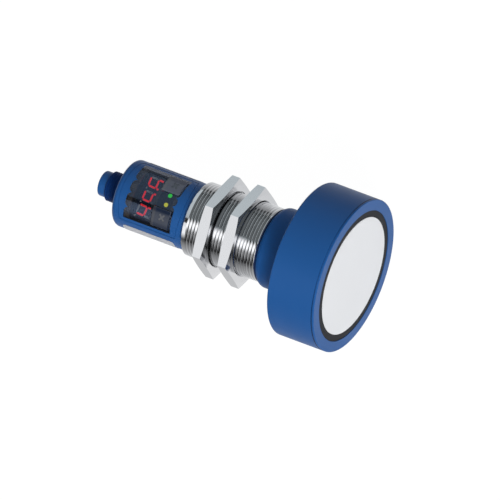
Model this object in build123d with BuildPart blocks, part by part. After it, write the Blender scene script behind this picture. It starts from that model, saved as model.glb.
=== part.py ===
# Ultrasonic sensor: round sensing head, threaded barrel, display housing, round connector.
# Millimetres. +X points out of the sensing face along the barrel, +Z out of the display.
# The origin is on the barrel's axis, midway between the two clamping nuts.
from build123d import *
from math import acos, cos, degrees, pi, radians, sin, sqrt, tan
import os

# Lengths along the axis, counted backwards from the sensing face
clamp_from_face = 52.45
bezel_thickness = 0.95
head_depth = 20.8
neck_length = 14.65
neck_seal_thickness = 0.35
barrel_length = 32.6
housing_length = 31.95
connector_thread_length = 7.2
connector_nose_length = 3.65

# Outer radii
head_radius = 31.1
barrel_radius = 15.0
neck_step = 1.25
housing_step = 1.5
connector_radius = 6.0
connector_nose_radius = 5.05
connector_stem_radius = 5.5

# Edge rounding and chamfers of the outside
bezel_edge = 0.35
seam_chamfer = 0.18
head_back_edge = 0.6
neck_shoulder = 2.6
barrel_chamfer = 0.8
housing_rear_edge = 1.9
connector_edge = 0.65

# Clearances and small fits
fit_gap = 0.05
nut_gap = 0.04
key_gap = 0.12
plunger_gap = 0.08
label_thickness = 0.1
label_glue = 0.03

# Transducer
foam_rim = 4.45
foam_width = 2.75
foam_recess = 0.25
face_recess = 0.12
face_thickness = 6.0
piezo_margin = 3.9
piezo_thickness = 3.0
backing_thickness = 5.4
backing_lead_hole = 0.8
lead_radius = 0.5
lead_spacing = 6.0
lead_on_board = 3.0

# Bezel spigot, the inside of the head and the neck's rim in its back wall
bezel_spigot_length = 4.0
bezel_spigot_wall = 2.9
head_ledge_width = 2.6
head_back_wall = 2.8
neck_rim_step = 2.0

# Walls of the barrel and the rear housing, and the two plastic spigots inside the barrel
barrel_wall = 1.8
housing_wall = 1.6
housing_web = 1.5
spigot_wall = 1.5
spigot_length = 8.0
oring_section = 0.45
oring_from_end = 3.0
oring_groove_width = 1.2
neck_seal_inset = 0.1

# Nuts
nut_flat_height = 3.0
nut_thickness = 4.5
clamp_gap = 6.75
nut_corner_chamfer = 0.55
nut_chamfer_angle = 10.5
nut_bore_chamfer = 0.5
nut_turn = 23.45
nut_sides = 6

# Window cover and its seat in the rear housing
window_from_barrel = 5.5
window_from_end = 5.8
window_side = 2.55
window_thickness = 0.9
window_ledge = 0.65
notch_depth = 1.5
notch_radius = 1.8
rear_notches = (3.7, -1.65, -7.2)
front_notches = (2.3, -1.45)
notch_cover = 0.6

# Engraved line round the display panel
panel_line_width = 0.25
panel_line_depth = 0.14
panel_side_margin = 0.9
panel_front_margin = 1.9
panel_rear_margin = 1.9
panel_bulge = 1.3
panel_corner = 0.8

# Keys
key_length = 7.9
key_side_margin = 0.7
key_from_center = 3.4
key_front_margin = 0.75
key_height = 0.4
key_skirt = 2.0
key_edge = 0.3
key_travel = 0.3
key_hook_length = 1.5
key_hook_reach = 0.55
key_hook_height = 0.55
key_hook_gap = 0.15
key_stem_radius = 1.5
mark_length = 3.1
mark_width = 0.8
mark_depth = 0.12
mark_turn = 45.0
mark_forward = 0.55

# Main board and its rails
board_thickness = 1.6
board_side_gap = 1.3
board_front_in_neck = 8.8
board_rear_from_end = 4.7
rail_height = 3.8
rail_reach = 0.65
rail_end_gap = 0.6

# Display
display_from_window_rear = 1.95
display_from_switch = 0.8
display_side_margin = 1.45
display_top = 6.5
digit_end_margin = 0.83
digit_side_gap = 1.1
digit_height_share = 2 / 3
digit_slant = 0.07
segment_width = 0.8
segment_gap = 0.12
segment_depth = 0.4
dot_radius = 0.4
dot_side_gap = 0.21
dot_above = 0.2
display_edge = 0.2

# Switches and lights on the board
switch_side_margin = 0.85
switch_height = 3.5
switch_well = 1.5
plunger_radius = 1.7
plunger_height = 0.7
led_length = 2.0
led_width = 1.3
led_height = 0.7
light_guide_radius = 0.85
light_guides = {"light_guide_green": 2.4, "light_guide_yellow": -1.5}
light_guide_top_gap = 0.06
light_guide_forward = 0.3

# Other parts on the board
chip_size = 10.0
chip_height = 1.4
chip_from_rear = 15.0
transformer_length = 10.0
transformer_width = 9.0
transformer_height = 7.0
transformer_from_front = 10.0
transformer_edge = 0.8
capacitor_radius = 2.5
capacitor_height = 7.5
capacitor_pitch = 6.2
capacitor_count = 3
capacitor_from_front = 25.0

# Connector
connector_wall = 0.75
connector_flange_radius = 8.0
connector_flange_thickness = 2.0
end_wall = 2.5
carrier_length = 8.5
contact_radius = 0.5
contact_circle_radius = 2.5
contact_circle_count = 4
contact_start_angle = 45.0
contact_recess = 1.0
contact_tail = 3.0
contact_tip_chamfer = 0.2
coding_rib_width = 0.8
coding_rib_height = 0.5
coding_rib_gap = 1.0

# Type label round the underside of the rear housing
label_from_barrel = 4.3
label_from_end = 5.05
label_angle = 214.0
label_corner = 1.5

# Radii that follow from the outer ones: the nuts pass over the rear housing
neck_radius = barrel_radius + neck_step
housing_radius = barrel_radius - housing_step
barrel_bore_radius = barrel_radius - barrel_wall
spigot_radius = barrel_bore_radius - fit_gap
spigot_bore_radius = spigot_radius - spigot_wall
neck_rim_radius = neck_radius - neck_rim_step
housing_bore_radius = housing_radius - housing_wall
foam_radius = head_radius - foam_rim
face_radius = foam_radius - foam_width
piezo_radius = face_radius - piezo_margin

# Places along X that follow from the lengths
face_x = clamp_from_face
bezel_back_x = face_x - bezel_thickness
head_back_x = face_x - head_depth
neck_end_x = head_back_x - neck_length
barrel_front_x = neck_end_x - neck_seal_thickness
barrel_rear_x = barrel_front_x - barrel_length
housing_rear_x = barrel_rear_x - housing_length
thread_rear_x = housing_rear_x - connector_thread_length
connector_rear_x = thread_rear_x - connector_nose_length
front_spigot_x = barrel_front_x - spigot_length
rear_spigot_x = barrel_rear_x + spigot_length
end_wall_x = housing_rear_x + end_wall

window_front_x = barrel_rear_x - window_from_barrel
window_rear_x = housing_rear_x + window_from_end
window_half = housing_radius - window_side
cover_inner_radius = housing_radius - window_thickness
key_front_x = window_front_x - key_front_margin
key_center_x = key_front_x - key_length / 2
key_width = window_half - key_side_margin - key_from_center
light_guide_x = key_center_x + light_guide_forward
key_center_y = key_from_center + key_width / 2
switch_size = key_width - switch_side_margin
key_top_radius = housing_radius + key_height
key_under_radius = key_top_radius - key_skirt

face_back_x = face_x - face_recess - face_thickness
piezo_back_x = face_back_x - piezo_thickness
backing_back_x = piezo_back_x - backing_thickness
foam_bore = foam_radius + fit_gap
spigot_outer = foam_bore + bezel_spigot_wall
spigot_end_x = bezel_back_x - bezel_spigot_length

neck_rim_x = head_back_x + head_back_wall
board_width = 2 * (housing_bore_radius - board_side_gap)
board_top = board_thickness / 2
board_front_x = neck_end_x + board_front_in_neck
board_rear_x = housing_rear_x + board_rear_from_end
display_rear_x = window_rear_x + display_from_window_rear
display_front_x = key_center_x - switch_size / 2 - display_from_switch
display_length = display_front_x - display_rear_x
display_x = (display_front_x + display_rear_x) / 2
display_width = 2 * (window_half - display_side_margin)
digit_pitch = display_width / 3 - 2 * digit_end_margin / 3
digit_half_width = digit_pitch / 2 - digit_side_gap
digit_half_height = display_length * digit_height_share / 2
dot_left = digit_pitch / 2 - dot_side_gap

socket_radius = connector_nose_radius - connector_wall
carrier_front_x = end_wall_x + connector_flange_thickness
carrier_rear_x = carrier_front_x - carrier_length

os.makedirs("parts", exist_ok=True)


def turned(points):
    """Revolve a closed profile of (x, radius) points about the sensor's axis."""
    with BuildSketch(Plane.XY) as profile:
        with BuildLine():
            Polyline(*points, close=True)
        make_face()
    revolve(profile.sketch, axis=Axis.X)


def notched_edge(edge_x, inward, notches):
    """Draw one end of the window, from +Y to -Y, with a rounded notch at each place."""
    rise = degrees(acos(1 - notch_depth / notch_radius))
    half = notch_radius * sin(radians(rise))
    last_y = window_half
    for notch_y in notches:
        Line((edge_x, last_y), (edge_x, notch_y + half))
        JernArc((edge_x, notch_y + half), (0, -1), notch_radius, inward * rise)
        JernArc((edge_x, notch_y - half), (0, 1), notch_radius, -inward * rise)
        last_y = notch_y - half
    Line((edge_x, last_y), (edge_x, -window_half))


def save(builder, name):
    """Label a finished piece and write it to its own file."""
    builder.part.label = name
    export_step(builder.part, f"parts/{name}.step")


# Front bezel: a flat ring with a spigot that fits into the head
with BuildPart() as front_bezel:
    turned(
        (
            (face_x, foam_bore),
            (face_x, head_radius),
            (bezel_back_x, head_radius),
            (bezel_back_x, spigot_outer),
            (spigot_end_x, spigot_outer),
            (spigot_end_x, foam_bore),
        )
    )
    outer_edges = front_bezel.edges().filter_by(GeomType.CIRCLE).group_by(SortBy.RADIUS)[-1]
    fillet(outer_edges.sort_by(Axis.X)[-1], radius=bezel_edge)
    outer_edges = front_bezel.edges().filter_by(GeomType.CIRCLE).group_by(SortBy.RADIUS)[-1]
    chamfer(outer_edges.sort_by(Axis.X)[0], length=seam_chamfer)
save(front_bezel, "front_bezel")

# Decoupling ring: foam between the bezel and the transducer, stepped round the piezo disc
with BuildPart() as decoupling_ring:
    turned(
        (
            (face_x - foam_recess, face_radius + fit_gap),
            (face_x - foam_recess, foam_radius),
            (piezo_back_x, foam_radius),
            (piezo_back_x, piezo_radius + fit_gap),
            (face_back_x, piezo_radius + fit_gap),
            (face_back_x, face_radius + fit_gap),
        )
    )
save(decoupling_ring, "decoupling_ring")

# Transducer face: the matching layer that radiates the sound
with BuildPart() as transducer_face:
    with BuildSketch(Plane.YZ.offset(face_back_x)):
        Circle(face_radius)
    extrude(amount=face_thickness)
save(transducer_face, "transducer_face")

# Piezo disc, bonded to the back of the matching layer
with BuildPart() as piezo_disc:
    with BuildSketch(Plane.YZ.offset(piezo_back_x)):
        Circle(piezo_radius)
    extrude(amount=piezo_thickness)
save(piezo_disc, "piezo_disc")

# Foam backing with a hole for each lead
with BuildPart() as transducer_backing:
    with BuildSketch(Plane.YZ.offset(backing_back_x)):
        Circle(foam_radius)
        with Locations((0, board_top + lead_radius)):
            with GridLocations(lead_spacing, 0, 2, 1):
                Circle(backing_lead_hole, mode=Mode.SUBTRACT)
    extrude(amount=backing_thickness)
save(transducer_backing, "transducer_backing")

# Two leads from the piezo disc to the top of the main board
with BuildPart() as transducer_leads:
    with BuildSketch(Plane.YZ.offset(board_front_x - lead_on_board)):
        with Locations((0, board_top + lead_radius)):
            with GridLocations(lead_spacing, 0, 2, 1):
                Circle(lead_radius)
    extrude(amount=piezo_back_x - board_front_x + lead_on_board)
save(transducer_leads, "transducer_leads")

# O-ring groove, cut into both spigots
oring_radius = barrel_bore_radius - oring_section
groove_floor = oring_radius - oring_section
front_oring_x = front_spigot_x + oring_from_end
rear_oring_x = rear_spigot_x - oring_from_end


def oring_groove(center_x):
    """Cut the O-ring's groove into a spigot."""
    with BuildSketch(Plane.XY) as groove:
        with Locations((center_x, (groove_floor + barrel_radius) / 2)):
            Rectangle(oring_groove_width, barrel_radius - groove_floor)
    revolve(groove.sketch, axis=Axis.X, mode=Mode.SUBTRACT)


def board_rails(bore, rear_x, front_x):
    """Add two rails inside a bore, each with a slot for an edge of the main board."""
    rail_depth = bore - board_width / 2 + rail_reach + 2 * fit_gap
    rail_y = bore + 2 * fit_gap - rail_depth / 2
    with BuildSketch(Plane.YZ.offset(rear_x)) as rails:
        with GridLocations(2 * rail_y, 0, 2, 1):
            Rectangle(rail_depth, rail_height)
    extrude(rails.sketch, amount=front_x - rear_x)
    with BuildSketch(Plane.YZ.offset(rear_x)) as slot:
        Rectangle(board_width + 2 * fit_gap, board_thickness + 2 * fit_gap)
    extrude(slot.sketch, amount=front_x - rear_x, mode=Mode.SUBTRACT)


# Head housing: the wide head, open in front, with a hole for the neck in its back wall
with BuildPart() as head_housing:
    turned(
        (
            (bezel_back_x, spigot_outer + fit_gap),
            (bezel_back_x, head_radius),
            (head_back_x, head_radius),
            (head_back_x, neck_rim_radius + fit_gap),
            (neck_rim_x, neck_rim_radius + fit_gap),
            (neck_rim_x, foam_radius - head_ledge_width),
            (backing_back_x, foam_radius - head_ledge_width),
            (backing_back_x, foam_bore),
            (spigot_end_x, foam_bore),
            (spigot_end_x, spigot_outer + fit_gap),
        )
    )
    head_edges = head_housing.edges().filter_by(GeomType.CIRCLE).group_by(SortBy.RADIUS)[-1]
    fillet(head_edges.sort_by(Axis.X)[0], radius=head_back_edge)
    head_edges = head_housing.edges().filter_by(GeomType.CIRCLE).group_by(SortBy.RADIUS)[-1]
    chamfer(head_edges.sort_by(Axis.X)[-1], length=seam_chamfer)
save(head_housing, "head_housing")

# Neck: tube with a rim in the head's back wall and a spigot inside the barrel
with BuildPart() as neck:
    turned(
        (
            (neck_rim_x, spigot_bore_radius),
            (neck_rim_x, neck_rim_radius),
            (head_back_x, neck_rim_radius),
            (head_back_x, neck_radius),
            (neck_end_x, neck_radius),
            (neck_end_x, spigot_radius),
            (front_spigot_x, spigot_radius),
            (front_spigot_x, spigot_bore_radius),
        )
    )
    neck_edges = neck.edges().filter_by(GeomType.CIRCLE).group_by(SortBy.RADIUS)[-1]
    fillet(neck_edges.sort_by(Axis.X)[0], radius=neck_shoulder)
    oring_groove(front_oring_x)
    board_rails(spigot_bore_radius, front_spigot_x, board_front_x)
save(neck, "neck")

# Flat seal between the neck's shoulder and the barrel
with BuildPart() as neck_seal:
    with BuildSketch(Plane.YZ.offset(barrel_front_x)):
        Circle(barrel_radius - neck_seal_inset)
        Circle(barrel_bore_radius, mode=Mode.SUBTRACT)
    extrude(amount=neck_seal_thickness)
save(neck_seal, "neck_seal")

# Barrel: a metal tube, threaded on the outside
with BuildPart() as barrel_sleeve:
    with BuildSketch(Plane.YZ.offset(barrel_rear_x)):
        Circle(barrel_radius)
        Circle(barrel_bore_radius, mode=Mode.SUBTRACT)
    extrude(amount=barrel_length)
    barrel_edges = barrel_sleeve.edges().filter_by(GeomType.CIRCLE)
    chamfer(barrel_edges.group_by(SortBy.RADIUS)[-1].sort_by(Axis.X)[0], length=barrel_chamfer)
save(barrel_sleeve, "barrel_sleeve")

# O-rings between the spigots and the barrel's bore
for oring_name, oring_x in {"front_oring": front_oring_x, "rear_oring": rear_oring_x}.items():
    with BuildPart() as oring:
        with BuildSketch(Plane.XY):
            with Locations((oring_x, oring_radius)):
                Circle(oring_section)
        revolve(axis=Axis.X)
    save(oring, oring_name)

# Clamping nuts: hexagons with chamfered corners on both faces
nut_across_flats = 2 * (barrel_radius + nut_flat_height)
nut_corner_radius = nut_across_flats / 2 / cos(pi / nut_sides)
nut_chamfer_reach = nut_corner_chamfer / tan(radians(nut_chamfer_angle))
for nut_name, nut_side in {"front_nut": 1, "rear_nut": -1}.items():
    nut_x = nut_side * (clamp_gap + nut_thickness) / 2
    nut_half = nut_thickness / 2
    with BuildPart() as nut:
        with BuildSketch(Plane.YZ.offset(nut_x - nut_half)):
            RegularPolygon(nut_across_flats / 2, nut_sides, major_radius=False, rotation=nut_turn)
        extrude(amount=nut_thickness)
        with BuildSketch(Plane.XY):
            with BuildLine():
                Polyline(
                    (nut_x - nut_half, 0),
                    (nut_x - nut_half, nut_corner_radius - nut_chamfer_reach),
                    (nut_x - nut_half + nut_corner_chamfer, nut_corner_radius),
                    (nut_x + nut_half - nut_corner_chamfer, nut_corner_radius),
                    (nut_x + nut_half, nut_corner_radius - nut_chamfer_reach),
                    (nut_x + nut_half, 0),
                    close=True,
                )
            make_face()
        revolve(axis=Axis.X, mode=Mode.INTERSECT)
        with BuildSketch(Plane.YZ.offset(nut_x - nut_half)):
            Circle(barrel_radius + nut_gap)
        extrude(amount=nut_thickness, mode=Mode.SUBTRACT)
        bore_edges = nut.edges().filter_by(GeomType.CIRCLE).group_by(SortBy.RADIUS)[0]
        chamfer(bore_edges, length=nut_bore_chamfer)
    save(nut, nut_name)

# Outline of the window, seen along Z, with its notched ends
with BuildSketch(Plane.XY) as window_outline:
    with BuildLine():
        notched_edge(window_rear_x, 1, rear_notches)
        notched_edge(window_front_x, -1, front_notches)
        Line((window_rear_x, window_half), (window_front_x, window_half))
        Line((window_rear_x, -window_half), (window_front_x, -window_half))
    make_face()

# Opening under the window, above the rails: clear of the notches, wider at the two keys
opening_rear_x = window_rear_x + notch_depth + notch_cover
opening_front_x = window_front_x - notch_depth - notch_cover
opening_half = window_half - window_ledge + key_gap
key_pocket_inner = key_from_center - key_gap
key_pocket_rear_x = key_front_x - key_length
with BuildSketch(Plane.XY.offset(rail_height / 2)) as window_opening:
    with Locations(((opening_rear_x + opening_front_x) / 2, 0)):
        Rectangle(opening_front_x - opening_rear_x, 2 * opening_half)
    for side in (1, -1):
        pocket_front_x = key_front_x + 2 * key_gap
        pocket_center_x = (pocket_front_x + key_pocket_rear_x) / 2
        with Locations((pocket_center_x, side * (key_pocket_inner + opening_half) / 2)):
            Rectangle(pocket_front_x - key_pocket_rear_x, opening_half - key_pocket_inner)

# Engraved panel line, as a thin closed loop
panel_front_x = barrel_rear_x - panel_front_margin - panel_bulge
panel_rear_x = window_rear_x - panel_rear_margin
panel_half_width = window_half + panel_side_margin
with BuildSketch(Plane.XY) as panel_loop:
    with BuildLine():
        Line((panel_rear_x, panel_half_width), (panel_front_x, panel_half_width))
        Line((panel_rear_x, -panel_half_width), (panel_front_x, -panel_half_width))
        ThreePointArc(
            (panel_rear_x, panel_half_width),
            (panel_rear_x - panel_bulge, 0),
            (panel_rear_x, -panel_half_width),
        )
        ThreePointArc(
            (panel_front_x, panel_half_width),
            (panel_front_x + panel_bulge, 0),
            (panel_front_x, -panel_half_width),
        )
    make_face()
    fillet(panel_loop.vertices(), radius=panel_corner)
    offset(amount=-panel_line_width, mode=Mode.SUBTRACT)


def between_radii(outline, inner_radius, outer_radius):
    """Raise an outline along Z and keep what lies between two radii about the axis."""
    with BuildPart() as piece:
        extrude(outline, amount=outer_radius)
        with BuildSketch(Plane.YZ.offset(connector_rear_x)):
            Circle(outer_radius)
            Circle(inner_radius, mode=Mode.SUBTRACT)
        extrude(amount=face_x - connector_rear_x, mode=Mode.INTERSECT)
    return piece.part


def rectangle_at(center_x, center_y, length, width):
    """Draw a rectangle on the plane through the axis, seen along Z."""
    with BuildSketch(Plane.XY) as outline:
        with Locations((center_x, center_y)):
            Rectangle(length, width)
    return outline.sketch


# Rear housing: moulded tube with a spigot, the window seat, the panel line and a closed end
past_housing = 2 * housing_radius
panel_line_floor = housing_radius - panel_line_depth
with BuildPart() as rear_housing:
    turned(
        (
            (barrel_rear_x, spigot_bore_radius),
            (barrel_rear_x, housing_radius),
            (housing_rear_x, housing_radius),
            (housing_rear_x, connector_stem_radius + fit_gap),
            (end_wall_x, connector_stem_radius + fit_gap),
            (end_wall_x, housing_bore_radius),
            (barrel_rear_x - housing_web, housing_bore_radius),
            (barrel_rear_x - housing_web, spigot_bore_radius),
        )
    )
    rear_edges = rear_housing.edges().filter_by(GeomType.CIRCLE).group_by(SortBy.RADIUS)[-1]
    fillet(rear_edges.sort_by(Axis.X)[0], radius=housing_rear_edge)
    turned(
        (
            (rear_spigot_x, spigot_bore_radius),
            (rear_spigot_x, spigot_radius),
            (barrel_rear_x, spigot_radius),
            (barrel_rear_x, spigot_bore_radius),
        )
    )
    oring_groove(rear_oring_x)
    board_rails(housing_bore_radius, carrier_front_x + rail_end_gap, barrel_rear_x)
    board_rails(spigot_bore_radius, barrel_rear_x - housing_web, rear_spigot_x)
    extrude(window_opening.sketch, amount=past_housing, mode=Mode.SUBTRACT)
    add(
        between_radii(window_outline.sketch, cover_inner_radius, past_housing),
        mode=Mode.SUBTRACT,
    )
    add(between_radii(panel_loop.sketch, panel_line_floor, past_housing), mode=Mode.SUBTRACT)
save(rear_housing, "rear_housing")

# Window cover: smoked shell that sits flush on the ledge, with a hole for each key
with BuildPart() as window_cover:
    add(between_radii(window_outline.sketch, cover_inner_radius, housing_radius))
    with BuildSketch(Plane.XY):
        with Locations((key_center_x, 0)):
            with GridLocations(0, 2 * key_center_y, 1, 2):
                Rectangle(key_length + 2 * key_gap, key_width + 2 * key_gap)
    extrude(amount=past_housing, mode=Mode.SUBTRACT)
save(window_cover, "window_cover")

# Keys: curved caps with a mark, a retaining hook in front and a stem down to the switch
switch_top = board_top + switch_height
plunger_top = switch_top + plunger_height
hook_radius = housing_bore_radius - key_hook_gap
hook_floor = hook_radius - key_hook_height
hook_web_length = key_hook_length - key_hook_reach
stem_top = sqrt(key_under_radius**2 - (key_center_y + key_stem_radius) ** 2) + fit_gap
for key_name, side in {"key_1": -1, "key_2": 1}.items():
    key_y = side * key_center_y
    cap_outline = rectangle_at(key_center_x, key_y, key_length, key_width)
    web_outline = rectangle_at(
        key_front_x - hook_web_length / 2, key_y, hook_web_length, key_width
    )
    hook_outline = rectangle_at(
        key_front_x + key_hook_reach - key_hook_length / 2, key_y, key_hook_length, key_width
    )
    with BuildSketch(Plane.XY) as mark_outline:
        with Locations((key_center_x + mark_forward, key_y)):
            Rectangle(mark_length, mark_width, rotation=mark_turn)
            Rectangle(mark_length, mark_width, rotation=-mark_turn)
    with BuildPart() as key:
        add(between_radii(cap_outline, key_under_radius, key_top_radius))
        cap_top = key.faces().filter_by(GeomType.CYLINDER).sort_by(Axis.Z)[-1]
        fillet(cap_top.edges(), radius=key_edge)
        add(between_radii(web_outline, hook_floor, key_under_radius + fit_gap))
        add(between_radii(hook_outline, hook_floor, hook_radius))
        with BuildSketch(Plane.XY.offset(plunger_top)):
            with Locations((key_center_x, key_y)):
                Circle(key_stem_radius)
        extrude(amount=stem_top - plunger_top)
        add(
            between_radii(mark_outline.sketch, key_top_radius - mark_depth, past_housing),
            mode=Mode.SUBTRACT,
        )
    save(key, key_name)

# Tact switches on the board, each with a well for its plunger
for number, side in {"1": -1, "2": 1}.items():
    switch_spot = (key_center_x, side * key_center_y)
    with BuildPart() as tact_switch:
        with BuildSketch(Plane.XY.offset(board_top)):
            with Locations(switch_spot):
                Rectangle(switch_size, switch_size)
        extrude(amount=switch_height)
        with BuildSketch(Plane.XY.offset(switch_top)):
            with Locations(switch_spot):
                Circle(plunger_radius + plunger_gap)
        extrude(amount=-switch_well, mode=Mode.SUBTRACT)
    save(tact_switch, f"tact_switch_{number}")
    with BuildPart() as tact_plunger:
        with BuildSketch(Plane.XY.offset(switch_top - switch_well + key_travel + key_gap)):
            with Locations(switch_spot):
                Circle(plunger_radius)
        extrude(amount=plunger_height + switch_well - key_travel - key_gap)
    save(tact_plunger, f"tact_plunger_{number}")

# Main board, between the rails of both housings
with BuildPart() as main_board:
    with BuildSketch(Plane.XY.offset(-board_top)):
        with Locations(((board_front_x + board_rear_x) / 2, 0)):
            Rectangle(board_front_x - board_rear_x, board_width)
    extrude(amount=board_thickness)
save(main_board, "main_board")


# Bars of one digit: place to the right, place upwards, half length, whether it lies flat
bar_half = segment_width / 2
flat_reach = digit_half_width - segment_gap
upright_reach = digit_half_height / 2 - segment_gap
digit_bars = (
    (0, digit_half_height, flat_reach, True),
    (0, 0, flat_reach, True),
    (0, -digit_half_height, flat_reach, True),
    (digit_half_width, digit_half_height / 2, upright_reach, False),
    (-digit_half_width, digit_half_height / 2, upright_reach, False),
    (digit_half_width, -digit_half_height / 2, upright_reach, False),
    (-digit_half_width, -digit_half_height / 2, upright_reach, False),
)


def bar_outline(digit_y, right, up, reach, flat):
    """Corners of one slanted bar with pointed ends, where up is -X and right is +Y."""
    corners = (
        (-reach, 0),
        (bar_half - reach, bar_half),
        (reach - bar_half, bar_half),
        (reach, 0),
        (reach - bar_half, -bar_half),
        (bar_half - reach, -bar_half),
    )
    places = []
    for along, across in corners:
        height = up + (across if flat else along)
        shift = right + (along if flat else across)
        places.append((display_x - height, digit_y + shift + digit_slant * height))
    return places


# All bars and dots of the three digits, seen along Z
with BuildSketch(Plane.XY) as digit_outlines:
    for digit in (-1, 0, 1):
        for right, up, reach, flat in digit_bars:
            with BuildLine():
                Polyline(*bar_outline(digit * digit_pitch, right, up, reach, flat), close=True)
            make_face()
        with Locations((display_x - digit_half_height - dot_above, digit * digit_pitch - dot_left)):
            Circle(dot_radius)

# Display module with a pocket for each segment, and the segments in them
segment_floor = display_top - segment_depth
with BuildPart() as display_segments:
    add(digit_outlines.sketch.moved(Location((0, 0, segment_floor))))
    extrude(amount=segment_depth)
with BuildPart() as display_module:
    with BuildSketch(Plane.XY.offset(board_top)):
        with Locations((display_x, 0)):
            Rectangle(display_length, display_width)
    extrude(amount=display_top - board_top)
    chamfer(display_module.faces().sort_by(Axis.Z)[-1].edges(), length=display_edge)
    add(display_segments.part, mode=Mode.SUBTRACT)
save(display_module, "display_module")
save(display_segments, "display_segments")

# Status lights: a small source on the board and a light guide up to the window for each
with BuildPart() as status_leds:
    with BuildSketch(Plane.XY.offset(board_top)):
        with Locations(*((light_guide_x, guide_y) for guide_y in light_guides.values())):
            Rectangle(led_length, led_width)
    extrude(amount=led_height)
save(status_leds, "status_leds")

for guide_name, guide_y in light_guides.items():
    guide_reach = abs(guide_y) + light_guide_radius
    guide_top = sqrt(cover_inner_radius**2 - guide_reach**2) - light_guide_top_gap
    with BuildPart() as light_guide:
        with BuildSketch(Plane.XY.offset(board_top + led_height)):
            with Locations((light_guide_x, guide_y)):
                Circle(light_guide_radius)
        extrude(amount=guide_top - board_top - led_height)
    save(light_guide, guide_name)

# Microcontroller under the board
with BuildPart() as microcontroller:
    with BuildSketch(Plane.XY.offset(-board_top)):
        with Locations((barrel_rear_x + chip_from_rear, 0)):
            Rectangle(chip_size, chip_size)
    extrude(amount=-chip_height)
save(microcontroller, "microcontroller")

# Transformer that drives the transducer
with BuildPart() as transformer:
    with BuildSketch(Plane.XY.offset(board_top)):
        with Locations((board_front_x - transformer_from_front, 0)):
            Rectangle(transformer_length, transformer_width)
    extrude(amount=transformer_height)
    fillet(transformer.edges().filter_by(Axis.Z), radius=transformer_edge)
save(transformer, "transformer")

# Row of capacitors behind the transformer
with BuildPart() as capacitors:
    with BuildSketch(Plane.XY.offset(board_top)):
        with Locations((board_front_x - capacitor_from_front, 0)):
            with GridLocations(capacitor_pitch, 0, capacitor_count, 1):
                Circle(capacitor_radius)
    extrude(amount=capacitor_height)
save(capacitors, "capacitors")

# Connector shell: flange inside the end wall, threaded part and smooth nose
with BuildPart() as connector_shell:
    turned(
        (
            (carrier_front_x, socket_radius),
            (carrier_front_x, connector_flange_radius),
            (end_wall_x, connector_flange_radius),
            (end_wall_x, connector_stem_radius),
            (housing_rear_x, connector_stem_radius),
            (housing_rear_x, connector_radius),
            (thread_rear_x, connector_radius),
            (thread_rear_x, connector_nose_radius),
            (connector_rear_x, connector_nose_radius),
            (connector_rear_x, socket_radius),
        )
    )
    nose_edges = connector_shell.edges().filter_by(GeomType.CIRCLE)
    nose_edges = nose_edges.filter_by(lambda edge: edge.radius > socket_radius + fit_gap)
    fillet(nose_edges.sort_by(Axis.X)[0], radius=connector_edge)
    with BuildSketch(Plane.YZ.offset(connector_rear_x + coding_rib_gap)):
        with Locations((0, socket_radius + fit_gap - coding_rib_height / 2)):
            Rectangle(coding_rib_width, coding_rib_height)
    extrude(amount=carrier_rear_x - connector_rear_x - coding_rib_gap)
save(connector_shell, "connector_shell")

# Contact carrier and its contacts
contact_rear_x = connector_rear_x + contact_recess


def contact_spots():
    """Places of the outer contacts, on a circle round the middle one."""
    return PolarLocations(
        contact_circle_radius, contact_circle_count, start_angle=contact_start_angle
    )


with BuildPart() as contact_carrier:
    with BuildSketch(Plane.YZ.offset(carrier_rear_x)):
        Circle(socket_radius - fit_gap)
        Circle(contact_radius, mode=Mode.SUBTRACT)
        with contact_spots():
            Circle(contact_radius, mode=Mode.SUBTRACT)
    extrude(amount=carrier_length)
save(contact_carrier, "contact_carrier")

with BuildPart() as contact_pins:
    with BuildSketch(Plane.YZ.offset(contact_rear_x)):
        with contact_spots():
            Circle(contact_radius)
    extrude(amount=board_rear_x + contact_tail - contact_rear_x)
    with BuildSketch(Plane.YZ.offset(contact_rear_x)):
        Circle(contact_radius)
    extrude(amount=carrier_front_x - contact_rear_x)
    chamfer(contact_pins.faces().group_by(Axis.X)[0].edges(), length=contact_tip_chamfer)
save(contact_pins, "contact_pins")

# Type label, wrapped round the underside of the rear housing
label_front_x = barrel_rear_x - label_from_barrel
label_length = label_front_x - housing_rear_x - label_from_end
label_start = radians(label_angle / 2)
label_plane = Plane((0, 0, 0), x_dir=(1, 0, 0), z_dir=(0, cos(label_start), -sin(label_start)))
with BuildPart() as type_label:
    with BuildSketch(label_plane):
        with Locations((label_front_x - label_length / 2, housing_radius + label_glue)):
            Rectangle(label_length, label_thickness, align=(Align.CENTER, Align.MIN))
    revolve(axis=Axis.X, revolution_arc=label_angle)
    corner_edges = type_label.edges().filter_by(GeomType.LINE).group_by(SortBy.LENGTH)[0]
    fillet(corner_edges, radius=label_corner)
save(type_label, "type_label")
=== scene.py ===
import math

import bmesh
import bpy
import numpy as np
from mathutils import Matrix, Vector


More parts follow.
